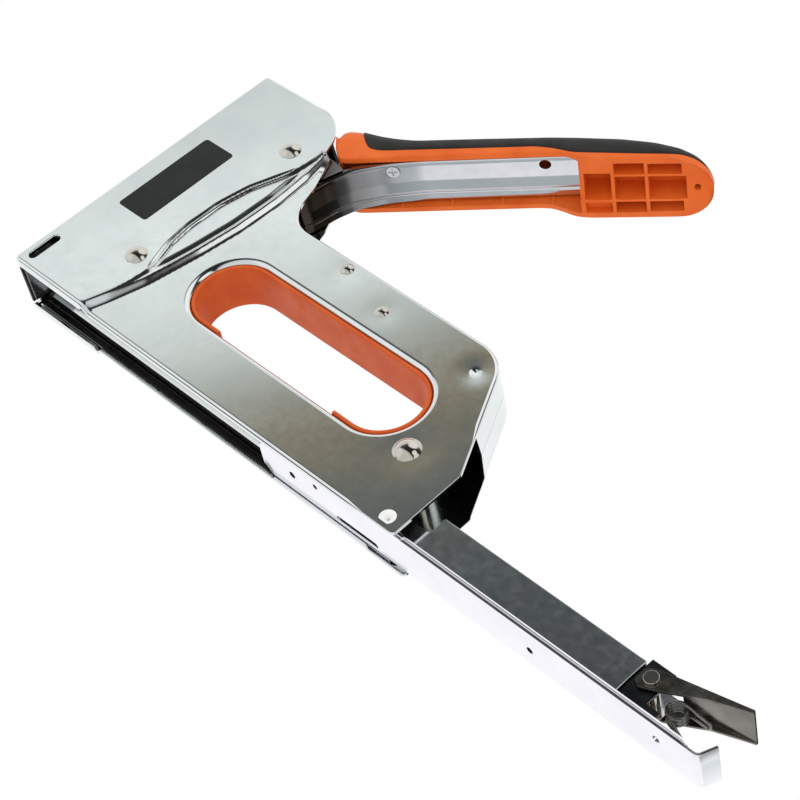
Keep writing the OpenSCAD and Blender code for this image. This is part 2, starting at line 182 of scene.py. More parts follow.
# painted reflection: the punched dimple gets a matte near-white colour that stands in for a bright reflection
# there
dimplePaintedWhite = mouldedPlastic("dimplePaintedReflection", ("#F1F1EF", "#E4E4E1"), (0.3, 0.45), (0.3, 0.003))
markInk = mouldedPlastic("printedInk", ("#1B1C1C", "#242525"), (0.3, 0.42), (0.2, 0.002))

finishOf = {
    "shell_chrome": shellChrome, "liner_plastic": linerPlastic, "dark_steel": darkSteel,
    "rivet_nickel": rivetNickel, "bumper_rubber": bumperRubber, "tool_steel": toolSteel,
    "spring_steel": springWire, "arm_chrome": leverChrome, "grip_plastic": gripPlastic,
    "grip_rubber": gripRubber, "screw_zinc": screwZinc, "drawer_chrome": drawerChrome,
    "housing_steel": housingSteel, "latch_steel": latchSteel,
}
slotOf = {s["node"]: s["material_slot"] for s in frame["record"]["subparts"]}
bodyOf = {n: b for b, members in frame["record"]["behaviour"]["bodies"].items() for n in members}
for name, node in nodes.items():
    node.data.materials.clear()
    node.data.materials.append(finishOf[slotOf[name]])
print("materials made:", len(bpy.data.materials))


# mesh helpers
def gridFaces(rows, columns, start=0, loopRows=False, loopColumns=False):
    # four-cornered faces of a grid of points numbered row by row
    i, j = np.meshgrid(np.arange(rows - (not loopRows)), np.arange(columns - (not loopColumns)),
                       indexing="ij")
    a = (i * columns + j).ravel()
    b = (i * columns + (j + 1) % columns).ravel()
    c = (((i + 1) % rows) * columns + (j + 1) % columns).ravel()
    d = (((i + 1) % rows) * columns + j).ravel()
    return (np.stack([a, b, c, d], 1) + start).tolist()


def putPiece(name, points, faces, node, material, smooth=35, bevel=0.0, normals=None, stands=True):
    # points in millimetres become one mesh object at the origin that rides with the node's body
    points = np.asarray(points, float).reshape(-1, 3)
    keys, back = np.unique(np.round(points, 4), axis=0, return_inverse=True)
    back = back.ravel()
    kept = []
    corners = []
    for face in faces:
        new = [int(back[k]) for k in face]
        pairs = [(v, k) for n, (v, k) in enumerate(zip(new, face)) if v != new[n - 1]]
        if len(set(p[0] for p in pairs)) == len(pairs) and len(pairs) > 2:
            kept.append([p[0] for p in pairs])
            corners.extend(p[1] for p in pairs)
    mesh = bpy.data.meshes.new(name)
    mesh.from_pydata((keys * mm).tolist(), [], kept)
    mesh.polygons.foreach_set("use_smooth", [True] * len(mesh.polygons))
    if normals is not None:
        chosen = np.asarray(normals, float).reshape(-1, 3)[corners]
        mesh.normals_split_custom_set(chosen.tolist())
    else:
        work = bmesh.new()
        work.from_mesh(mesh)
        bmesh.ops.recalc_face_normals(work, faces=work.faces)
        work.to_mesh(mesh)
        work.free()
        mesh.set_sharp_from_angle(angle=math.radians(smooth))
    mesh.materials.append(material)
    piece = bpy.data.objects.new(name, mesh)
    bpy.context.scene.collection.objects.link(piece)
    if bevel:
        rounding = piece.modifiers.new("edge", "BEVEL")
        rounding.width = bevel * mm
        rounding.segments = 3
        rounding.limit_method = "ANGLE"
        rounding.angle_limit = math.radians(32)
        rounding.harden_normals = True
    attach(piece, bodyOf[node])
    if stands:
        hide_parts(node)
    return piece


def softened(node, width):
    # a copy of the CAD mesh, merged and with flat areas joined, whose edges get a small round
    mesh = nodes[node].data.copy()
    work = bmesh.new()
    work.from_mesh(mesh)
    bmesh.ops.remove_doubles(work, verts=work.verts, dist=2e-6)
    bmesh.ops.dissolve_limit(work, angle_limit=math.radians(1.5), verts=work.verts, edges=work.edges)
    points = np.array([v.co[:] for v in work.verts]) / mm
    faces = [[v.index for v in f.verts] for f in work.faces]
    work.free()
    return putPiece(node + "Soft", points, faces, node, finishOf[slotOf[node]], 32, width)


def unit(v):
    v = np.asarray(v, float)
    return v / np.maximum(np.linalg.norm(v, axis=-1, keepdims=True), 1e-12)


def smoothStep(x, low, high):
    t = np.clip((x - low) / (high - low), 0, 1)
    return t * t * (3 - 2 * t)


def carried(path, across, up, profile):
    # point (i, j) = path i + across i times the profile's first number + up i times its second
    profile = np.asarray(profile, float)
    if profile.ndim == 2:
        profile = np.broadcast_to(profile, (len(path),) + profile.shape)
    return (path[:, None] + across[:, None] * profile[..., :1] + up[:, None] * profile[..., 1:2])


def cappedTube(points):
    # a closed profile carried along a path; open ends are filled with one face each
    rows, columns = points.shape[:2]
    faces = gridFaces(rows, columns, loopColumns=True)
    faces.append(list(range(columns - 1, -1, -1)))
    faces.append([(rows - 1) * columns + j for j in range(columns)])
    return points.reshape(-1, 3), faces


def rounded(corners, step=7.5):
    # outline of [x, z, radius] corners, each turned into an arc that touches both of its sides
    corners = np.array(corners, float)
    out = []
    for a, b, c in zip(np.roll(corners, 1, 0), corners, np.roll(corners, -1, 0)):
        if b[2] == 0:
            out.append(b[None, :2])
            continue
        u = unit(a[:2] - b[:2])
        v = unit(c[:2] - b[:2])
        half = math.acos(float(np.clip(u @ v, -1, 1))) / 2
        middle = b[:2] + unit(u + v) * b[2] / math.sin(half)
        p = b[:2] + u * b[2] / math.tan(half) - middle
        q = b[:2] + v * b[2] / math.tan(half) - middle
        start = math.atan2(p[1], p[0])
        turn = (math.atan2(q[1], q[0]) - start + math.pi) % (2 * math.pi) - math.pi
        count = max(2, int(abs(math.degrees(turn)) / step) + 2)
        angle = start + turn * np.linspace(0, 1, count)
        out.append(middle + b[2] * np.stack([np.cos(angle), np.sin(angle)], 1))
    return np.concatenate(out)


def filled(points, gap):
    # a closed outline with points added so that no side is longer than gap
    out = []
    for a, b in zip(points, np.roll(points, -1, 0)):
        count = max(1, int(math.ceil(np.linalg.norm(b - a) / gap)))
        out.append(a + (b - a) * (np.arange(count) / count)[:, None])
    out = np.concatenate(out)
    keep = np.linalg.norm(out - np.roll(out, 1, 0), axis=1) > 1e-4
    return out[keep]


def inwards(loop):
    # unit vectors to the left of a counter-clockwise loop, from the sides before and after each point
    side = unit(np.roll(loop, -1, 0) - loop)
    along = unit(side + np.roll(side, 1, 0))
    return np.stack([-along[:, 1], along[:, 0]], 1)


def insideOf(loop, points):
    # even-odd rule, for all points at once
    x, z = points[:, 0][:, None], points[:, 1][:, None]
    ax, az = loop[:, 0], loop[:, 1]
    bx, bz = np.roll(ax, -1), np.roll(az, -1)
    crosses = (az > z) != (bz > z)
    where = ax + (z - az) / np.where(bz == az, 1e-9, bz - az) * (bx - ax)
    return (crosses & (x < where)).sum(1) % 2 == 1


def drilled(piece, holes):
    # holes cut right through: centre, direction, radius, half length of each drill and the length of
    # the hole's straight part along X
    cutters = []
    for centre, axis, radius, reach, slot in holes:
        axis = unit(axis)
        side = unit(np.cross(axis, [0.31, 0.83, 0.47]))
        up = np.cross(axis, side)
        turn = np.linspace(0, 2 * math.pi, 33)[:-1]
        ring = np.array(centre) + radius * (np.cos(turn)[:, None] * side + np.sin(turn)[:, None] * up)
        ring[:, 0] += np.sign(ring[:, 0] - centre[0] + 1e-6) * slot / 2
        points = np.concatenate([ring - axis * reach, ring + axis * reach])
        faces = gridFaces(2, 32, loopColumns=True) + [list(range(31, -1, -1)), list(range(32, 64))]
        mesh = bpy.data.meshes.new("drill")
        mesh.from_pydata((points * mm).tolist(), [], faces)
        cutter = bpy.data.objects.new("drill", mesh)
        bpy.context.scene.collection.objects.link(cutter)
        cut = piece.modifiers.new("hole", "BOOLEAN")
        cut.operation = "DIFFERENCE"
        cut.solver = "EXACT"
        cut.object = cutter
        cutters.append(cutter)
    shape = bpy.data.meshes.new_from_object(piece.evaluated_get(bpy.context.evaluated_depsgraph_get()))
    piece.modifiers.clear()
    old = piece.data
    piece.data = shape
    shape.set_sharp_from_angle(angle=math.radians(32))
    bpy.data.meshes.remove(old)
    for cutter in cutters:
        mesh = cutter.data
        bpy.data.objects.remove(cutter)
        bpy.data.meshes.remove(mesh)


def plate(name, corners, y0, y1, node, material, bevel=0.3, stands=True):
    # a flat outline in X and Z given thickness along Y
    loop = rounded(corners)
    count = len(loop)
    points = np.concatenate([np.insert(loop, 1, y0, axis=1), np.insert(loop, 1, y1, axis=1)])
    faces = gridFaces(2, count, loopColumns=True)
    faces.append(list(range(count)))
    faces.append(list(range(2 * count - 1, count - 1, -1)))
    return putPiece(name, points, faces, node, material, 35, bevel, stands=stands)


# the two pressed shells
shells = {
    "headHalf": 11.4, "sheet": 1.0, "roll": 1.2, "windowRoll": 2.1, "band": 1.6,
    "outline": [
        [0, 0, 1.7], [173.2, 0, 1.6], [172.8, 26, 3], [150.9, 65.2, 15], [57, 65.2, 12],
        [52.6, 79.5, 14], [46.6, 91.8, 1.3], [44.6, 91.9, 0.5], [42.2, 106, 18], [0, 106, 1.7],
    ],
    # where the arched line and the shoulder run: z, then x
    "arch": [[-2, 33.2], [1.9, 34.7], [9.4, 37.6], [16, 39.2], [22.5, 39.9], [26, 39.0], [34.4, 36.2],
             [43.5, 35.0], [55.5, 35.4], [66.1, 37.6], [75.3, 41.5], [79.3, 43.2], [86, 44.2], [108, 44.6]],
    "shoulder": [[-2, 35.6], [1.6, 36.7], [7.6, 39.1], [20, 43.2], [37.7, 46.6], [52.4, 48.6],
                 [68.1, 49.2], [81.3, 48.3], [91.4, 46.4], [108, 45.2]],
    "archDrop": 0.5, "shoulderDrop": 1.4,
    "window": [54.6, 147.8, 19.8, 46.6],
    # a dimple with a small hole: x, z, radius of the hole, radius of the flare
    "catchHole": [167.6, 3.5, 0.3, 2.2],
    "sightSlot": [4.6, 4.5, 13.3, 1.5],
    # shallow marks: x, z, radius, depth
    "dents": [[148.3, 55.7, 1.0, 0.45], [148.3, 55.7, 4.5, 0.12], [109.4, 55.5, 5.5, 0.04],
              [87.8, 61.4, 5, 0.05], [154.3, 23.3, 8, 0.10], [31.6, 24.6, 6.5, 0.08]],
}


def softCurve(table, z):
    # the table joined by straight lines, then averaged over 5 mm so that it bends smoothly
    table = np.array(table, float)
    fine = np.arange(-6, 112, 0.25)
    line = np.interp(fine, table[:, 0], table[:, 1])
    window = np.hanning(23)
    line = np.convolve(np.pad(line, 11, "edge"), window / window.sum(), "valid")
    return np.interp(z, fine, line), np.interp(z, fine, np.gradient(line, 0.25))


def sideHeight(x, z):
    # half width of the gun at (x, z): the head's level, less a thin groove and a small fall at the
    # arched line, less a groove and the main fall at the shoulder, less the shallow marks
    s = shells
    archX, archSlope = softCurve(s["arch"], z)
    bodyX, bodySlope = softCurve(s["shoulder"], z)
    a = (x - archX) / np.sqrt(1 + archSlope ** 2)
    b = (x - bodyX) / np.sqrt(1 + bodySlope ** 2)
    lens = smoothStep(z, 22, 30) * (1 - smoothStep(z, 74, 82))
    h = s["headHalf"] - s["archDrop"] * smoothStep(a, -0.6, 0.8)
    h = h - lens * (0.38 * np.exp(-((a + 0.70) / 0.42) ** 2) + 0.30 * np.exp(-((a - 0.80) / 0.42) ** 2))
    h = h - s["shoulderDrop"] * smoothStep(b, -2.0, 0.4)
    h = h - 0.5 * lens * np.exp(-((b + 3.3) / 0.85) ** 2) + 0.12 * np.exp(-((b + 1.9) / 0.7) ** 2)
    for dx, dz, r, depth in s["dents"]:
        h = h - depth * np.exp(-((x - dx) ** 2 + (z - dz) ** 2) / r ** 2)
    return h


def sideNormal(x, z):
    # minus the slope of the height across and up, for the side that faces -Y
    e = 0.02
    hx = (sideHeight(x + e, z) - sideHeight(x - e, z)) / (2 * e)
    hz = (sideHeight(x, z + e) - sideHeight(x, z - e)) / (2 * e)
    return unit(np.stack([-hx, -np.ones_like(hx), -hz], -1))


def rimStrip(loop, inward, roll, wallEnd, level, band):
    # from the flat panel round the folded edge, down the wall, across the cut edge and back inside;
    # one row for each place around the profile, with the direction each row faces
    n = len(loop)
    roll = np.broadcast_to(roll, n)
    thick = shells["sheet"]
    normalPanel = sideNormal((loop + inward * band)[:, 0], (loop + inward * band)[:, 1])
    outward = np.stack([-inward[:, 0], np.zeros(n), -inward[:, 1]], 1)
    rows, facing, breaks = [], [], []

    def row(depth, y, normal):
        p = loop + inward * np.broadcast_to(depth, n)[:, None]
        rows.append(np.stack([p[:, 0], y, p[:, 1]], 1))
        facing.append(np.broadcast_to(normal, (n, 3)))

    row(band, -level(band), normalPanel)
    for angle in np.radians(np.linspace(0, 90, 9)):
        row(roll * (1 - math.sin(angle)), -level(0) + roll * (1 - math.cos(angle)),
            unit(normalPanel * math.cos(angle) + outward * math.sin(angle)))
    row(0.0, -wallEnd, outward)
    breaks.append(len(rows))
    row(0.0, -wallEnd, np.array([0, 1.0, 0]))
    row(thick, -wallEnd, np.array([0, 1.0, 0]))
    breaks.append(len(rows))
    row(thick, -wallEnd, -outward)
    row(thick, -np.maximum(level(band) - thick, wallEnd), -outward)
    breaks.append(len(rows))
    row(thick, -np.maximum(level(band) - thick, wallEnd), -normalPanel)
    row(band, -level(band) + thick, -normalPanel)
    return np.stack(rows), np.stack(facing), breaks


def stripPatches(rows, facing, breaks, flip):
    # the strip cut at its sharp edges, as (points, normals, faces)
    out = []
    edges = [0] + breaks + [len(rows)]
    for low, high in zip(edges, edges[1:]):
        n = rows.shape[1]
        faces = gridFaces(high - low, n, loopColumns=True)
        if flip:
            faces = [f[::-1] for f in faces]
        out.append((rows[low:high].reshape(-1, 3), facing[low:high].reshape(-1, 3), faces))
    return out


def buildShell():
    s = shells
    band = s["band"]
    loop = filled(rounded(s["outline"]), 1.3)
    inward = inwards(loop)
    x, z = loop[:, 0], loop[:, 1]
    # folded where a wall turns in, and only dulled where the sheet is cut: the back below the
    # handle's wall, and the head's corner and neck that the lever passes
    cutBack = (x > 158.5) & (z < 39)
    cutHead = ((z > 92) & (x > 29)) | ((z > 68) & (z < 93) & (x > 44))
    folded = 1.0 - np.clip(cutBack + cutHead, 0, 1)
    folded = np.convolve(np.pad(folded, 2, "wrap"), np.ones(5) / 5, "valid")
    roll = 0.25 + (s["roll"] - 0.25) * folded

    def level(depth):
        p = loop + inward * depth
        return sideHeight(p[:, 0], p[:, 1])

    high = level(0)
    wallEnd = np.where(folded > 0.5, 0.05, high - s["sheet"])
    bottom = (z < 3) & (x > 1.5) & (x < 172)
    wallEnd = np.where(bottom, np.where(x < 158.5, high - s["sheet"] - 0.9, high - s["sheet"]), wallEnd)
    wallEnd = np.where((z < 3) & (x < 33.5), high - 3.3, wallEnd)
    wallEnd = np.where((z < 3) & (x <= 1.5), high - s["sheet"] - 0.5, wallEnd)
    wallEnd = np.minimum(wallEnd, high - roll)
    patches = stripPatches(*rimStrip(loop, inward, roll, wallEnd, level, band), False)

    x0, x1, z0, z1 = s["window"]
    r = (z1 - z0) / 2
    hole = filled(rounded([[x0, z0, r], [x1, z0, r], [x1, z1, r], [x0, z1, r]], 4), 1.3)
    holes = [(hole, s["windowRoll"], 0.05, s["windowRoll"] + 0.2)]
    cx, cz, cr, flare = s["catchHole"]
    turn = np.linspace(0, 2 * math.pi, 33)[:-1]
    holes.append((np.stack([cx + cr * np.cos(turn), cz + cr * np.sin(turn)], 1), flare, 7.25, flare + 0.1))
    sx, sz0, sz1, sr = s["sightSlot"]
    slot = filled(rounded([[sx - sr, sz0 - sr, sr], [sx + sr, sz0 - sr, sr], [sx + sr, sz1 + sr, sr],
                           [sx - sr, sz1 + sr, sr]], 12), 1.0)
    holes.append((slot, 0.35, None, 0.5))
    edgeLoops = [loop + inward * band]
    for ring, ringRoll, end, ringBand in holes:
        away = -inwards(ring)

        def ringLevel(depth, ring=ring, away=away):
            p = ring + away * depth
            return sideHeight(p[:, 0], p[:, 1])

        ringEnd = np.full(len(ring), end) if end is not None else ringLevel(0) - s["sheet"]
        ringEnd = np.minimum(ringEnd, ringLevel(0) - ringRoll)
        patches += stripPatches(*rimStrip(ring, away, ringRoll, ringEnd, ringLevel, ringBand), True)
        edgeLoops.append(ring + away * ringBand)

    # the panel's points: loops first, then a 2 mm grid that is 0.36 mm near the pressed lines
    wide = np.stack(np.meshgrid(np.arange(1, 173, 2.0), np.arange(1, 106, 2.0)), -1).reshape(-1, 2)
    fine = np.stack(np.meshgrid(np.arange(30, 52, 0.36), np.arange(0.4, 104, 0.36)), -1).reshape(-1, 2)
    for dx, dz, dr, _ in s["dents"]:
        if dr < 2:
            patch = np.arange(-3, 3.1, 0.3)
            fine = np.concatenate([fine, np.stack(np.meshgrid(patch + dx, patch + dz), -1).reshape(-1, 2)])
    a = fine[:, 0] - softCurve(s["arch"], fine[:, 1])[0]
    b = fine[:, 0] - softCurve(s["shoulder"], fine[:, 1])[0]
    fine = fine[(np.abs(a) < 2.7) | ((b > -6.6) & (b < 1.4)) | (fine[:, 0] > 60)]
    a = wide[:, 0] - softCurve(s["arch"], wide[:, 1])[0]
    b = wide[:, 0] - softCurve(s["shoulder"], wide[:, 1])[0]
    wide = wide[~((np.abs(a) < 3.2) | ((b > -7.1) & (b < 1.9)))]
    loose = np.concatenate([wide, fine])
    ok = insideOf(edgeLoops[0], loose)
    for ring in edgeLoops[1:]:
        ok &= ~insideOf(ring, loose)
    loose = loose[ok]
    fixed = np.concatenate(edgeLoops)
    near = np.array([np.min(np.sum((fixed - p) ** 2, 1)) for p in loose])
    loose = loose[near > 0.5 ** 2 * np.where(loose[:, 0] > 0, 0.3, 1)]
    edges = []
    start = 0
    for ring in edgeLoops:
        edges += [(start + i, start + (i + 1) % len(ring)) for i in range(len(ring))]
        start += len(ring)
    cloud = np.concatenate([fixed, loose])
    cut = geometry.delaunay_2d_cdt([Vector(p) for p in cloud], edges, [], 0, 1e-5)
    flat = np.array([v[:] for v in cut[0]])
    tris = np.array([f[:] for f in cut[2]])
    middle = flat[tris].mean(1)
    ok = insideOf(edgeLoops[0], middle)
    for ring in edgeLoops[1:]:
        ok &= ~insideOf(ring, middle)
    tris = tris[ok]
    h = sideHeight(flat[:, 0], flat[:, 1])
    normal = sideNormal(flat[:, 0], flat[:, 1])
    outer = np.stack([flat[:, 0], -h, flat[:, 1]], 1)
    inner = outer + np.array([0, s["sheet"], 0])
    a, b, c = (outer[tris[:, k]] for k in range(3))
    wrong = np.cross(b - a, c - a)[:, 1] > 0
    tris[wrong] = tris[wrong][:, ::-1]
    patches.append((outer, normal, tris.tolist()))
    patches.append((inner, -normal, tris[:, ::-1].tolist()))
    points, normals, faces = [], [], []
    total = 0
    for p, n, f in patches:
        points.append(p)
        normals.append(n)
        faces += [[k + total for k in face] for face in f]
        total += len(p)
    return np.concatenate(points), np.concatenate(normals), faces


points, normals, faces = buildShell()
# turn each face so that it agrees with the way its own corners face
corner = np.array([[f[0], f[1], f[2]] for f in faces])
flatNormal = np.cross(points[corner[:, 1]] - points[corner[:, 0]],
                      points[corner[:, 2]] - points[corner[:, 0]])
longer = np.array([[f[0], f[2], f[-1]] for f in faces])
flatNormal += np.cross(points[longer[:, 1]] - points[longer[:, 0]],
                       points[longer[:, 2]] - points[longer[:, 0]])
wanted = np.array([normals[f].sum(0) for f in faces])
agrees = (flatNormal * wanted).sum(1) >= 0
faces = [f if ok else f[::-1] for f, ok in zip(faces, agrees)]
mirror = np.array([1, -1, 1])
for piece in (putPiece("leftShellPressed", points, faces, "left_shell", shellChrome, normals=normals),
              putPiece("rightShellPressed", points * mirror, [f[::-1] for f in faces], "right_shell",
                       shellChrome, normals=normals * mirror)):
    # painted reflection: the dimple's faces take the matte near-white material
    piece.data.materials.append(dimplePaintedWhite)
    centre = np.array([p.center[:] for p in piece.data.polygons]) / mm
    away = np.hypot(centre[:, 0] - shells["catchHole"][0], centre[:, 2] - shells["catchHole"][1])
    dimpled = (away < 2.35) & (np.abs(centre[:, 1]) > 6)
    piece.data.polygons.foreach_set("material_index", dimpled.astype(int).tolist())
print("shells made:", len(faces), "faces each")


# rivets
rivets = {
    # x, z, head radius, head height, shank radius, half width of the gun there
    "lever_pivot_rivet": [[34.8, 85.6, 3.7, 1.9, 2.5, 11.4]],
    "head_rivet": [[31.6, 24.6, 3.7, 1.9, 2.5, 11.32]],
    "handle_rivets": [[87.8, 61.4, 2.3, 1.2, 1.5, 9.45], [109.4, 55.5, 2.3, 1.2, 1.5, 9.4]],
    "rear_rivet": [[154.3, 23.3, 4.3, 2.3, 2.2, 9.4]],
}


def rivetSurface(x, z, r, h, shank, half):
    # turned about an axis along Y: a domed head with a small flat, a thin upright edge, the shank,
    # and the same head on the other side
    ball = (r * r + h * h) / (2 * h)
    t = np.linspace(0, 1, 14)
    lean = t * math.asin(min(0.999, r / ball)) * 0.97
    dome = np.stack([ball * np.sin(lean), half + h - ball * (1 - np.cos(lean))], 1)
    dome[:, 1] -= 0.06 * np.exp(-(dome[:, 0] / (0.35 * r)) ** 2)
    side = np.concatenate([dome, [[r, dome[-1, 1] - 0.12], [r, half - 0.02], [r * 0.97, half - 0.12],
                                  [shank, half - 0.12]]])
    profile = np.concatenate([side * [1, -1], (side * [1, 1])[::-1]])
    angle = np.linspace(0, 2 * math.pi, 49)[:-1]
    ring = np.stack([np.cos(angle), np.zeros(48), np.sin(angle)], 1)
    points = profile[:, None, :1] * ring + profile[:, None, 1:] * np.array([0, 1, 0]) + [x, 0, z]
    return points.reshape(-1, 3), gridFaces(len(profile), 48, loopColumns=True)


for node, places in rivets.items():
    allPoints, allFaces = [], []
    for place in places:
        points, faces = rivetSurface(*place)
        allFaces += [[k + sum(map(len, allPoints)) for k in f] for f in faces]
        allPoints.append(points)
    putPiece(node + "Turned", np.concatenate(allPoints), allFaces, node, rivetNickel, 50)
print("rivets made")


# window liner
liner = {"thick": 1.2, "near": 8.7, "far": 7.3, "gap": [75.5, 126.5], "edge": 0.35}


def buildLiner():
    # a flat strip, rounded at both edges, carried round the window from one side of the gap to the other
    x0, x1, z0, z1 = shells["window"]
    r = (z1 - z0) / 2 - 0.02
    middle = (z0 + z1) / 2
    right = np.radians(np.linspace(-90, 90, 37))
    left = np.radians(np.linspace(90, 270, 37))
    line = np.concatenate([
        np.stack([np.linspace(liner["gap"][1], x1 - r, 8)[:-1], np.full(7, middle - r)], 1),
        np.stack([x1 - r + r * np.cos(right), middle + r * np.sin(right)], 1),
        np.stack([np.linspace(x1 - r, x0 + r, 30)[1:-1], np.full(28, middle + r)], 1),
        np.stack([x0 + r + r * np.cos(left), middle + r * np.sin(left)], 1),
        np.stack([np.linspace(x0 + r, liner["gap"][0], 6)[1:], np.full(5, middle - r)], 1)])
    along = unit(np.gradient(line, axis=0))
    inner = np.stack([-along[:, 1], np.zeros(len(line)), along[:, 0]], 1)
    path = np.insert(line, 1, 0, axis=1)
    t, e = liner["thick"], liner["edge"]
    turn = np.radians(np.linspace(0, 90, 4))
    rim = np.stack([t - e + e * np.sin(turn), e - e * np.cos(turn)], 1)
    rim = np.concatenate([[[0, 0.3], [0.3, 0]], rim, [[t - 0.02, 1.6], [t, 3]]])
    profile = np.concatenate([rim - [0, liner["near"]], (rim * [1, -1] + [0, liner["far"]])[::-1]])
    across = np.broadcast_to(np.array([0.0, 1, 0]), path.shape)
    return cappedTube(carried(path, inner, across, profile))


points, faces = buildLiner()
putPiece("windowLinerMoulded", points, faces, "window_liner", linerPlastic, 40)
print("liner made")


# magazine track
track = {"x": [5.6, 138.0], "half": 8.1, "top": 16.4, "low": 1.2, "sheet": 1.0}


def buildTrack():
    # a downward channel with a pressed bead along each side wall, carried along X
    h, t, top, low = track["half"], track["sheet"], track["top"], track["low"]
    side = np.array([[h, low], [h, 4.9], [h - 0.35, 5.5], [h - 0.35, 6.3], [h, 7.1], [h, top - 1],
                     [h - 0.3, top - 0.3], [h - 1, top]])
    inner = np.array([[h - t - 0.9, top - t], [h - t, top - t - 0.9], [h - t, 7.2], [h - t - 0.75, 6.7],
                      [h - t - 0.1, 5.15], [h - t, 4.9], [h - t, 4.0], [h - t - 0.3, 3.85],
                      [h - t - 0.3, 3.3], [h - t, 3.1], [h - t, low]])
    left = np.concatenate([inner[::-1] * [-1, 1], inner * [1, 1]])
    profile = np.concatenate([side, (side * [-1, 1])[::-1], left])
    x = np.array([track["x"][0], track["x"][0] + 0.2, 20, 40, 60, 80, 100, 120, track["x"][1] - 0.2,
                  track["x"][1]])
    path = np.stack([x, 0 * x, 0 * x], 1)
    across = np.broadcast_to([0.0, 1, 0], path.shape)
    up = np.broadcast_to([0.0, 0, 1], path.shape)
    return cappedTube(carried(path, across, up, profile))


points, faces = buildTrack()
trackPiece = putPiece("magazineTrackRolled", points, faces, "magazine_track", darkSteel, 25)
trackPiece.data.materials.append(shellChrome)  # the bead is rubbed bright by the drawer
centre = np.array([p.center[:] for p in trackPiece.data.polygons]) / mm
bright = (centre[:, 2] > 5.2) & (centre[:, 2] < 6.68) & (np.abs(centre[:, 1]) < 7.05)
bright |= (centre[:, 2] > 3.35) & (centre[:, 2] < 3.8) & (np.abs(centre[:, 1]) < 7.05)
trackPiece.data.polygons.foreach_set("material_index", bright.astype(int).tolist())
print("track made")


# lever
lever = {
    "origin": [69.5, 108.7], "angle": 39.2, "half": 8.15, "sheet": 1.6, "flange": 2.4,
    "root": [[48.6, 72.6], [50.9, 75.6], [51.7, 79.5], [52.5, 85], [55, 92.4], [61, 100.2], [69.5, 108.7]],
    "end": 49.1,
}
lean = math.radians(lever["angle"])


def onLever(u, y, w):
    # u runs out along the arm, w stands up from it
    x = lever["origin"][0] + u * math.cos(lean) - w * math.sin(lean)
    z = lever["origin"][1] + u * math.sin(lean) + w * math.cos(lean)
    return np.stack(np.broadcast_arrays(x, y, z), -1)


def buildArm():
    # the pressed web: a line bent at the root and straight beyond it, averaged so that it curves,
    # carrying a shallow channel section with one long groove
    tip = np.array(lever["origin"]) + lever["end"] * np.array([math.cos(lean), math.sin(lean)])
    line = np.array(lever["root"] + [tip.tolist()])
    run = np.concatenate([[0], np.cumsum(np.linalg.norm(np.diff(line, axis=0), axis=1))])
    fine = np.arange(0, run[-1], 0.4)
    dense = np.stack([np.interp(fine, run, line[:, k]) for k in (0, 1)], 1)
    window = np.hanning(21)
    window /= window.sum()
    ends = np.concatenate([dense[:1] + (dense[:1] - dense[1:11])[::-1], dense,
                           dense[-1:] + (dense[-1:] - dense[-11:-1])[::-1]])
    dense = np.stack([np.convolve(ends[:, k], window, "valid") for k in (0, 1)], 1)
    pick = np.unique(np.concatenate([np.arange(0, 110, 2), np.arange(110, len(dense), 8), [len(dense) - 1]]))
    dense = dense[pick[pick < len(dense)]]
    along = unit(np.gradient(dense, axis=0))
    path = np.insert(dense, 1, 0, axis=1)
    up = np.stack([-along[:, 1], np.zeros(len(along)), along[:, 0]], 1)
    across = np.broadcast_to([0.0, 1, 0], path.shape)
    half, sheet, flange = lever["half"], lever["sheet"], lever["flange"]
    y = np.concatenate([np.linspace(-half + 0.8, -0.6, 8), np.linspace(-0.3, 3.3, 7),
                        np.linspace(3.5, 5.6, 15), np.linspace(5.9, half - 0.8, 4)])
    groove = (0.42 * (smoothStep(y, 3.6, 4.5) - smoothStep(y, 4.5, 5.4))
              - 0.055 * np.clip(y + 0.3, 0, 4.0) - 0.03 * np.clip(y - 5, 0, 2.5))
    turn = np.radians(np.linspace(0, 90, 6))
    corner = np.stack([half - 0.8 + 0.8 * np.sin(turn), 0.8 - 0.8 * np.cos(turn)], 1)
    lower = np.stack([y, groove], 1)
    rise = np.array([[half, flange - 0.3], [half - 0.3, flange], [half - sheet + 0.2, flange],
                     [half - sheet, flange - 0.2], [half - sheet - 0.2, sheet]])
    profile = np.concatenate([(corner * [-1, 1])[::-1][:-1], lower, corner[1:], rise,
                              (lower + [0, sheet])[::-1][2:-2], (rise * [-1, 1])[::-1]])
    return cappedTube(carried(path, across, up, profile))


points, faces = buildArm()
arm = putPiece("leverArmPressed", points, faces, "lever_arm", leverChrome, 30)
drilled(arm, [(onLever(38.9, -5.2, 0), (-math.sin(lean), 0, math.cos(lean)), 1.9, 4.0, 0),
              (onLever(-8.9, -5.2, -2), (-math.sin(lean), 0, math.cos(lean)), 2.3, 2.0, 0)])
cheek = [[28.5, 84, 2], [31, 79.5, 2], [44.4, 72, 2], [49.4, 75.6, 1], [51, 82, 3], [53.8, 91, 1.5],
         [51, 92.5, 1], [41, 92, 1], [33, 91.6, 2], [29.5, 89, 2]]
plate("leverCheekLeft", cheek, -8.15, -6.55, "lever_arm", leverChrome, 0.3, False)
plate("leverCheekRight", cheek, 6.55, 8.15, "lever_arm", leverChrome, 0.3, False)
tongue = [[5.2, 77.6, 0.8], [5.6, 74.9, 0.5], [9, 74.9, 1], [34, 80.6, 3], [41, 83, 1.5], [40, 88.6, 1.5],
          [33, 90, 2], [28, 86, 3], [7, 78.9, 1]]
plate("leverTongue", tongue, -3.6, 3.6, "lever_arm", leverChrome, 0.4, False)


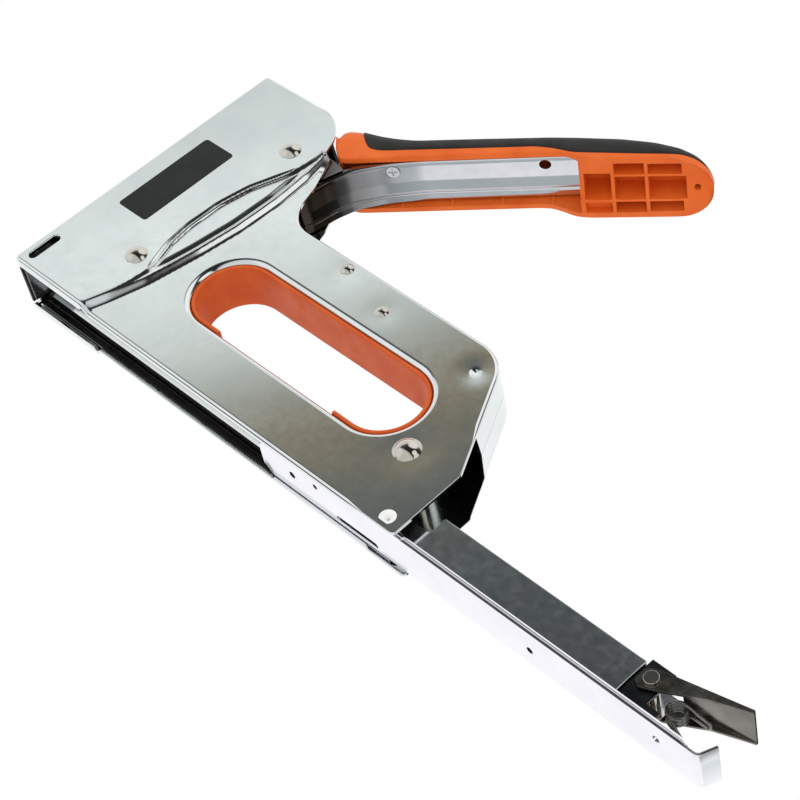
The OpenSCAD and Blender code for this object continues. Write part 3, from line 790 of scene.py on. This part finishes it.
# grip: orange body, black soft cover
grip = {
    "half": 10.7, "nose": 79.8,
    # along the lever: height of the top near the sides, of the bottom edge, and of the cover's edge
    "top": [[-28, 10.5], [-27.7, 13.6], [-27, 15.6], [-25.6, 16.9], [-23.5, 17.1], [-20, 16.2], [-13.6, 13.6],
            [-8, 12.1], [-2.3, 11.1], [13.8, 10.8], [40.4, 10.1], [49.2, 9.4], [62.4, 8.0], [72.8, 5.8],
            [80, 3.0], [85, 0.2], [88.5, -2.6], [90.5, -5.2]],
    "bottom": [[-28, 10.4], [-27.7, 7.5], [-27.2, 4.2], [-26.6, 1.4], [-25.4, -0.6], [-23.5, -2.0], [-21, -2.3],
               [36, -2.7], [40, -3.2], [44, -5.2], [47.5, -7.2], [52, -7.9], [78, -8.6], [90.5, -8.6]],
    "nearBottom": [[-28, 10.4], [-27.7, 7.5], [-27.2, 4.2], [-26.6, 1.6], [-25.4, 0.4], [-23.5, 0.0], [-21, -0.1],
                   [36, -0.3], [44, -0.5], [47.5, -1.2], [49, -2.4], [50, -3.8], [62, -4.4], [78, -4.9],
                   [90.5, -5.6]],
    "edge": [[-20.4, 17.4], [-19.6, 13], [-18.6, 8.6], [-17.4, 5.6], [-15.5, 3.9], [-12, 3.1], [24, 2.5],
             [36, 2.4], [42, 1.2], [48, -1], [70, -2.9], [83, -3.8], [91, -5.0]],
    "proud": 0.35,
    # open pockets underneath: u from, to, y from, to, height of their roof
    "pockets": [[-25, 49.4, -8.6, 8.6, 6.4], [51, 59.2, -4.6, 3.6, 2.6], [60.4, 69.6, -8.3, -4.4, 1.2],
                [60.4, 69.6, -3.6, 3.6, 1.2], [60.4, 69.6, 4.4, 8.3, 1.2], [70.8, 81.0, -8.0, -4.4, 0.6],
                [70.8, 82.2, -3.6, 3.6, 0.6], [70.8, 81.0, 4.4, 8.0, 0.6], [51, 59.2, 4.6, 8.3, -5.6]],
    "hole": [85.6, 0, 0.9, 5], "wallRibs": [-8, 8, 24, 40],
}


def along(table, u):
    # joined by straight lines and averaged over 3 mm
    table = np.array(table, float)
    shift = np.linspace(-1.5, 1.5, 7)
    near = np.clip(np.minimum(u - table[0, 0], table[-1, 0] - u) / 1.5, 0, 1)
    return np.mean([np.interp(u + k * near, table[:, 0], table[:, 1]) for k in shift], 0)


def gripWidth(u):
    # straight sides, then a half circle in plan
    over = np.clip((u - grip["nose"]) / grip["half"], 0, 1)
    front = 1 - 0.06 * (1 - smoothStep(u, -28, -26.2))
    return grip["half"] * np.sqrt(1 - over ** 2) * front


def gripSection(u, low, count=25):
    # from the left side at height low, up the side, over a crown shaped as a superellipse of power
    # 2.3, and down the right side
    half = gripWidth(u)
    crown = along(grip["top"], u) + 1.3 * np.sqrt(np.clip(half / grip["half"], 0, 1))
    bottom = along(grip["bottom"], u)
    rise = np.minimum(10.0, np.maximum(crown - bottom - 1.5, 0.2))
    start = np.maximum(crown - rise, low)
    t = np.linspace(0, math.pi, 2 * count + 1)
    y = -np.sign(np.cos(t)) * np.abs(np.cos(t)) ** (2 / 2.3)
    z = np.sin(t) ** (2 / 2.3)
    share = np.clip((low - (crown - rise)) / rise, 0, 0.999)
    cut = (1 - share ** 2.3) ** (1 / 2.3)
    yy = y[None] * cut[:, None]
    zz = np.where(np.abs(y[None]) > -1, (1 - np.clip(np.abs(yy), 0, 1) ** 2.3) ** (1 / 2.3), z)
    across = half[:, None] * yy
    height = (crown - rise)[:, None] + rise[:, None] * zz
    side = np.linspace(0, 1, 6)[:-1]
    wall = low[:, None] + (height[:, :1] - low[:, None]) * side
    left = np.stack([np.broadcast_to(across[:, :1], wall.shape), wall], -1)
    right = np.stack([np.broadcast_to(across[:, -1:], wall.shape), wall[:, ::-1]], -1)
    return np.concatenate([left, np.stack([across, height], -1), right], 1)


gripU = np.unique(np.round(np.concatenate([
    -28 + 2.2 * (1 - np.cos(np.radians(np.linspace(0, 90, 9)))), np.arange(-25.5, 79.8, 1.7),
    grip["nose"] + grip["half"] * np.sin(np.radians(np.linspace(0, 90, 25))),
    np.concatenate([[e - 0.08, e + 0.08] for p in grip["pockets"] for e in p[:2]]),
    np.concatenate([[e - 0.6, e - 0.45, e + 0.45, e + 0.6] for e in grip["wallRibs"]]),
    grip["hole"][0] + np.linspace(-1.2, 1.2, 13)]), 3))


def buildGripBody():
    u = gripU
    bottom = along(grip["bottom"], u)
    near = along(grip["nearBottom"], u)
    skin = gripSection(u, bottom + 0.5)
    # the near side's wall is shorter than the far one
    share = np.linspace(0, 1, 6)[:-1]
    skin[:, :5, 1] = (near + 0.5)[:, None] * (1 - share) + skin[:, 5:6, 1] * share
    half = gripWidth(u)
    turn = np.radians(np.linspace(0, 75, 5))
    out = np.maximum(half[:, None] - 0.5 + 0.5 * np.sin(turn), 0)
    rise = 0.5 - 0.5 * np.cos(turn)
    leftFoot = np.stack([-out, near[:, None] + rise], -1)
    rightFoot = np.stack([out, bottom[:, None] + rise], -1)
    section = np.concatenate([leftFoot, skin, rightFoot[:, ::-1]], 1)
    outer = onLever(u[:, None], section[..., 0], section[..., 1])
    points = [outer.reshape(-1, 3)]
    faces = gridFaces(*outer.shape[:2])
    # the underside as a height over (u, y), with steep sided pockets
    edge = np.array([v for p in grip["pockets"] for v in p[2:4]])
    y = np.unique(np.round(np.concatenate([np.linspace(-10.2, 10.2, 19), edge - 0.07, edge + 0.07,
                                           np.linspace(-1.2, 1.2, 13), [-8.25, -8.2, 8.2, 8.25]]), 3))
    limit = np.maximum(half - 0.5, 0)
    yy = np.clip(y[None], -limit[:, None], limit[:, None])
    uu = np.broadcast_to(u[:, None], yy.shape)
    height = near[:, None] + (bottom - near)[:, None] * smoothStep(yy, -8.2, 8.2)
    for u0, u1, y0, y1, roof in grip["pockets"]:
        inside = (smoothStep(uu, u0 - 0.08, u0 + 0.08) * (1 - smoothStep(uu, u1 - 0.08, u1 + 0.08))
                  * smoothStep(yy, y0 - 0.07, y0 + 0.07) * (1 - smoothStep(yy, y1 - 0.07, y1 + 0.07)))
        rib = np.zeros_like(uu)
        if y1 > 8.4:
            for e in grip["wallRibs"]:
                rib = np.maximum(rib, (np.abs(uu - e) < 0.5) * (np.abs(yy) > 8.22))
        roofHere = np.minimum(roof, along(grip["top"], uu) - 2.0)
        height = height + (np.maximum(roofHere - height, 0)) * inside * (1 - 0.93 * rib)
    hu, hy, hr, deep = grip["hole"]
    height = height + deep * (1 - smoothStep(np.hypot(uu - hu, yy - hy), hr - 0.1, hr + 0.1))
    under = onLever(uu, yy, height)
    faces += gridFaces(*under.shape[:2], start=outer.shape[0] * outer.shape[1])
    points.append(under.reshape(-1, 3))
    # the blunt front end
    count = outer.shape[1]
    front = list(range(count))
    faces.append(front)
    return np.concatenate(points), faces


points, faces = buildGripBody()
putPiece("gripMoulded", points, faces, "lever_grip", gripPlastic, 40)


def buildCover():
    # the same section above the cover's edge, moved out along its own normal by a third of a
    # millimetre and rounded down into the orange body at its rim
    noseEnd = grip["nose"] + grip["half"] * np.sin(np.radians(np.linspace(0, 89, 26)))
    u = np.concatenate([np.linspace(-20.3, -12, 34), np.arange(-12, 79, 1.6), noseEnd])
    u = np.unique(np.round(u, 3))
    low = along(grip["edge"], u)
    crown = along(grip["top"], u) + 1.3
    low = np.minimum(low, crown - 0.35)
    section = gripSection(u, low)
    step = np.gradient(section, axis=1)
    normal = unit(np.stack([-step[..., 1], step[..., 0]], -1))
    run = np.cumsum(np.linalg.norm(np.diff(section, axis=1, prepend=section[:, :1]), axis=-1), axis=1)
    rim = np.minimum(run, run[:, -1:] - run)
    lift = grip["proud"] * np.sqrt(1 - (1 - np.clip(rim / 0.8, 0, 1)) ** 2)
    end = smoothStep(u, -20.3, -19.3)[:, None]
    lift = lift * end - 0.25 * (1 - end)
    moved = section + normal * lift[..., None]
    inner = section - normal * 0.7
    ring = np.concatenate([moved, inner[:, ::-1]], 1)
    return cappedTube(onLever(u[:, None], ring[..., 0], ring[..., 1]))


points, faces = buildCover()
putPiece("gripCoverMoulded", points, faces, "grip_cover", gripRubber, 50)
print("lever made")


# springs of round wire
def wire(centre, radius, sides=10):
    # a circle carried along a curve, on axes taken from the curve's own direction
    centre = np.asarray(centre, float)
    direction = unit(np.gradient(centre, axis=0))
    helper = np.array([0.13, 0.97, 0.21])
    across = unit(np.cross(direction, helper))
    up = np.cross(direction, across)
    angle = np.linspace(0, 2 * math.pi, sides + 1)[:-1]
    circle = radius * np.stack([np.cos(angle), np.sin(angle)], 1)
    return cappedTube(carried(centre, across, up, circle))


def coilLine(radius, turns, length, steps=24):
    # a helix whose first and last turn lie nearly flat
    t = np.linspace(0, turns, turns * steps + 1)
    rise = np.clip(t - 0.75, 0, turns - 1.5) / (turns - 1.5)
    rise = rise * 0.9 + 0.1 * t / turns
    return np.stack([radius * np.cos(2 * math.pi * t), radius * np.sin(2 * math.pi * t), length * rise], 1)


line = coilLine(6.3, 7, 35.5) + [16.5, 0, 35.7]
points, faces = wire(line, 1.1)
putPiece("powerSpringWound", points, faces, "power_spring", springWire, 60)
line = coilLine(2.1, 40, 118.6, 12)[:, [2, 1, 0]] + [131.0, 0, 6]
points, faces = wire(line, 0.4, 6)
putPiece("pusherSpringWound", points, faces, "pusher_spring", springWire, 60)
hairpin = np.radians(np.linspace(90, -90, 9))
turnCount = np.linspace(0, 1, 84)
bend = np.stack([272 + 1.3 * np.cos(hairpin), 1.3 * np.sin(hairpin), np.full(9, 12.7)], 1)
upper = np.concatenate([[[266, 1.3, 12.7]], bend, [[268, -1.6, 12.75], [266, -1.9, 12.8]]])
coils = np.stack([264.3 - 2.6 * np.sin(2 * math.pi * 3.45 * turnCount), -2.0 + 4.0 * turnCount,
                  10.2 + 2.6 * np.cos(2 * math.pi * 3.45 * turnCount)], 1)
bend = np.stack([271.3 + 1.2 * np.cos(hairpin), 1.2 * np.sin(hairpin), 4.6 - 0.5 * np.cos(hairpin)], 1)
lower = np.concatenate([[[265.2, 1.9, 7.3]], bend, [[263.2, -1.2, 8.0]]])
line = np.concatenate([upper, coils, lower])
run = np.concatenate([[0], np.cumsum(np.linalg.norm(np.diff(line, axis=0), axis=1))])
even = np.linspace(0, run[-1], 260)
line = np.stack([np.interp(even, run, line[:, k]) for k in range(3)], 1)
points, faces = wire(line, 0.45)
putPiece("latchSpringWound", points, faces, "latch_spring", springWire, 60)
print("springs made")


# drawer channel
drawer = {"x": [115, 282], "low": 0.9, "sheet": 0.8, "half": 7.0, "hem": 1.2,
          "notch": [273.6, 276.4], "taper": 3.0,
          "hook": [[277.2, 0.9, 0], [279.6, 0.9, 2.2], [281.75, 6.0, 0]],
          "holes": [[128.5, -0.4, 1.2], [138.9, -2.9, 0.9], [222, 0.5, 1.1], [265.8, -1.2, 1.15]],
          "slot": [147, 162, 4.7, 1.0]}


def buildDrawer():
    # a floor line that turns up into the hook, carrying a channel section whose low side walls are
    # folded double; the walls run down to nothing at the notch before the hook
    d = drawer
    hook = rounded(d["hook"], 8)
    start = np.concatenate([d["x"][0] + np.array([0, 1, 2, 3, 4.5]), np.arange(122, 273, 4.0),
                            np.linspace(*d["notch"], 12)])
    line = np.concatenate([np.stack([start, np.full(len(start), d["low"])], 1), hook])
    tip = unit(line[-1] - line[-2])
    line = np.concatenate([line, line[-1:] + tip * 0.25, line[-1:] + tip * 0.35])
    step = unit(np.gradient(line, axis=0))
    path = np.insert(line, 1, 0, axis=1)
    up = np.stack([-step[:, 1], np.zeros(len(step)), step[:, 0]], 1)
    across = np.broadcast_to([0.0, 1, 0], path.shape)
    half = d["half"] - np.maximum(0, d["taper"] - (line[:, 0] - d["x"][0]))
    tall = d["hem"] * (1 - smoothStep(line[:, 0], *d["notch"]))
    thin = np.ones(len(line))
    thin[-1] = 0.55
    t = d["sheet"]
    # outline of the right side: corner, two folded beads, top, and the wall's inner side
    side = np.array([[0.25, 0, 0], [0.06, 0.04, 0], [0, 0.14, 0.03], [0, 0.45, 0.38], [0.11, 0.49, 0.45],
                     [0, 0.53, 0.52], [0, 0.72, 0.88], [0.06, 0.78, 0.97], [0.2, 0.80, 1.0], [0.55, 0.80, 1.0],
                     [0.75, 0.76, 0.92], [0.8, 0.72, 0.8], [0.85, 0.8, 0.0]])
    y = half[:, None] - side[:, 0]
    z = t * thin[:, None] * side[:, 1] / 0.8 + tall[:, None] * side[:, 2]
    right = np.stack([y, z], -1)
    left = right[:, ::-1] * [-1, 1]
    return cappedTube(carried(path, across, up, np.concatenate([right, left], 1)))


points, faces = buildDrawer()
drawerPiece = putPiece("drawerChannelFolded", points, faces, "drawer_channel", drawerChrome, 12)
drills = [((x, y, 1.5), (0, 0, 1), r, 2.0, 0) for x, y, r in drawer["holes"]]
x0, x1, y, r = drawer["slot"]
drills.append((((x0 + x1) / 2, y, 1.5), (0, 0, 1), r, 2.0, x1 - x0))
drilled(drawerPiece, drills)
drilled(softened("staple_rail", 0), [d for d in drills if abs(d[0][1]) < 3])
print("drawer made")


# printed mark, a plain dark bar
mark = {"corners": [[8.0, 36, 1.2], [21.6, 36, 1.2], [21.6, 73, 1.2], [8.0, 73, 1.2]], "thick": 0.05}
plate("printedMark", mark["corners"], -11.4 - mark["thick"], -11.35, "left_shell", markInk, 0, False)

for node, width in (("nose_plate", 0.3), ("drawer_housing", 0.35),
                    ("lever_screw", 0.12), ("latch_lever", 0.2),
                    ("blade_guide", 0.2), ("spring_seat", 0.2), ("latch_bracket", 0.2), ("latch_pin", 0.15),
                    ("staple_pusher", 0.15)):
    softened(node, width)
# the bracket's cheeks are blackened above a bare brownish foot
blackSteel = bareMetal("blackenedBracket", ("#4A4D4F", "#3A3C3E"), (0.2, 0.3), (6, 0.01), (0.5, 0.001))
footSteel = bareMetal("passivatedFoot", ("#C8B08A", "#A88F6C"), (0.2, 0.35), (4, 0.02), (0.5, 0.002))
bracket = bpy.data.objects["latch_bracketSoft"]
bracket.data.materials.append(blackSteel)
bracket.data.materials.append(footSteel)
centre = np.array([p.center[:] for p in bracket.data.polygons]) / mm
kind = np.where(centre[:, 2] < 5.3, 2, np.where(np.abs(centre[:, 1]) > 5.6, 1, 0))
bracket.data.polygons.foreach_set("material_index", kind.astype(int).tolist())
print("small pieces softened")

# camera, light and floor
camera = {"place": (0.5075, -0.4681, -0.2071), "target": (0.12777, 0.00476, 0.04234),
          "roll": 50.96, "lens": 102.25}
lens = bpy.data.cameras.new("camera")
lens.lens = camera["lens"]
lens.sensor_width = 36
lens.clip_start = 0.01
viewer = bpy.data.objects.new("camera", lens)
bpy.context.scene.collection.objects.link(viewer)
viewer.location = camera["place"]
look = (Vector(camera["target"]) - Vector(camera["place"])).to_track_quat("-Z", "Y").to_matrix()
viewer.rotation_euler = (look @ Matrix.Rotation(math.radians(camera["roll"]), 3, "Z")).to_euler()
bpy.context.scene.camera = viewer

studio = {
    "roomSide": (0.643, -0.690, -0.331),
    # share of the way from the white wall to the dark room side, and the colour there
    "room": [(0.0, "#FFFFFF"), (0.30, "#FAFBFF"), (0.40, "#DDE2E2"), (0.432, "#D8DEDD"),
             (0.442, "#EBF1F0"), (0.453, "#FAFFFF"), (0.463, "#E6EBE9"), (0.473, "#E2E8E6"), (0.479, "#D0D5D2"),
             (0.485, "#B1B5AF"), (0.492, "#939185"),
             (0.500, "#877960"), (0.508, "#7A7565"), (0.516, "#676B6A"), (0.53, "#585D5E"),
             (0.548, "#54595B"),
             (0.57, "#484B4D"), (0.70, "#2E3032"), (0.84, "#242526"), (0.93, "#2A2725"), (1.0, "#3A3530")],
    # soft white boxes and dark cards: direction, cosine of the edge, softness, colour
    "cards": [
        ((0.50, 0.72, 0.50), 0.95, 0.05, "#1C1716"),
        ((-0.58, -0.62, -0.53), 0.93, 0.04, "#F6F6F8"),
        ((-0.15, -0.62, 0.77), 0.93, 0.05, "#FFFFFF"),
        ((0.90, -0.30, 0.30), 0.955, 0.03, "#F4F4F4"),
        ((0.33, 0.596, -0.73), 0.975, 0.03, "#AEB6B8"),
        ((0.174, 0.879, -0.471), 0.945, 0.02, "#FFFCFF"),
        ((-0.58, 0.03, -0.815), 0.985, 0.01, "#14110F"),
        ((0.63, -0.68, 0.37), 0.975, 0.02, "#FFFFFF"),
    ],
    # stands in for the floor, which glossy rays do not see: z where it starts, z where full, colour
    "ground": (-0.02, -0.18, "#DDE0E2"),
    "fill": 1.0,
}
world = bpy.data.worlds.new("studio")
bpy.context.scene.world = world
world.use_nodes = True
tree = world.node_tree
tree.nodes.clear()
direction = addNode(tree, "ShaderNodeTexCoord").outputs["Generated"]
toRoom = addNode(tree, "ShaderNodeVectorMath", {0: direction}, operation="DOT_PRODUCT",
                 in1=studio["roomSide"]).outputs["Value"]
seen = colourRamp(tree, spread(tree, toRoom, -1, 1, 0, 1), studio["room"])
high = addNode(tree, "ShaderNodeSeparateXYZ", {0: direction}).outputs[2]
start, full, tint = studio["ground"]
onDark = spread(tree, toRoom, 0.0, 0.1, 0, 1)
share = addNode(tree, "ShaderNodeMath", {0: spread(tree, high, start, full, 0, 1), 1: onDark},
                operation="MULTIPLY").outputs[0]
mix = addNode(tree, "ShaderNodeMix", {"Factor": share}, data_type="RGBA")
tree.links.new(seen, mix.inputs[6])
mix.inputs[7].default_value = linear(tint)
seen = mix.outputs[2]
for aim, edge, soft, colour in studio["cards"]:
    near = addNode(tree, "ShaderNodeVectorMath", {0: direction}, operation="DOT_PRODUCT",
                   in1=tuple(unit(aim))).outputs["Value"]
    share = spread(tree, near, edge - soft, edge, 0, 1)
    mix = addNode(tree, "ShaderNodeMix", {"Factor": share}, data_type="RGBA")
    tree.links.new(seen, mix.inputs[6])
    mix.inputs[7].default_value = linear(colour)
    seen = mix.outputs[2]
path = addNode(tree, "ShaderNodeLightPath")
glossy = addNode(tree, "ShaderNodeBackground", {"Color": seen}, inStrength=1.0)
white = addNode(tree, "ShaderNodeBackground", inColor=(1, 1, 1, 1), inStrength=studio["fill"])
room = addNode(tree, "ShaderNodeMixShader", {"Fac": path.outputs["Is Glossy Ray"]})
tree.links.new(white.outputs[0], room.inputs[1])
tree.links.new(glossy.outputs[0], room.inputs[2])
addNode(tree, "ShaderNodeOutputWorld", {"Surface": room.outputs[0]})

# a pale floor just under the gun; its underside is clear, so a view from below looks through it
floor = {"size": 14, "gap": 0.0006, "colour": ("#F2F2F0", "#ECECEA")}
half = floor["size"] / 2
mesh = bpy.data.meshes.new("floor")
mesh.from_pydata([(-half, -half, -floor["gap"]), (half, -half, -floor["gap"]), (half, half, -floor["gap"]),
                  (-half, half, -floor["gap"])], [], [(0, 1, 2, 3)])
ground = bpy.data.objects.new("floor", mesh)
bpy.context.scene.collection.objects.link(ground)
material, tree, shader, place = newMaterial("paleFloor", 0.0, Roughness=0.6)
tints = [(0.3, floor["colour"][0]), (0.7, floor["colour"][1])]
tree.links.new(colourRamp(tree, noise(tree, place, 60), tints), shader.inputs["Base Color"])
clear = addNode(tree, "ShaderNodeBsdfTransparent")
side = addNode(tree, "ShaderNodeNewGeometry").outputs["Backfacing"]
both = addNode(tree, "ShaderNodeMixShader", {"Fac": side})
tree.links.new(shader.outputs[0], both.inputs[1])
tree.links.new(clear.outputs[0], both.inputs[2])
tree.links.new(both.outputs[0], tree.nodes["Material Output"].inputs["Surface"])
mesh.materials.append(material)
ground.visible_glossy = False
ground.visible_diffuse = False
ground.visible_shadow = False

lamps = [  # place, size, power, name
    ((-0.35, -0.75, 0.75), 0.5, 1.6, "keyBox"),
    ((0.75, -0.55, -0.35), 0.5, 1.0, "fillBox"),
]
for place, size, power, name in lamps:
    data = bpy.data.lights.new(name, "AREA")
    data.size = size
    data.energy = power
    lamp = bpy.data.objects.new(name, data)
    bpy.context.scene.collection.objects.link(lamp)
    lamp.location = place
    lamp.rotation_euler = (Vector((0.13, 0, 0.06)) - Vector(place)).to_track_quat("-Z", "Y").to_euler()
    lamp.visible_glossy = False
print("studio made")
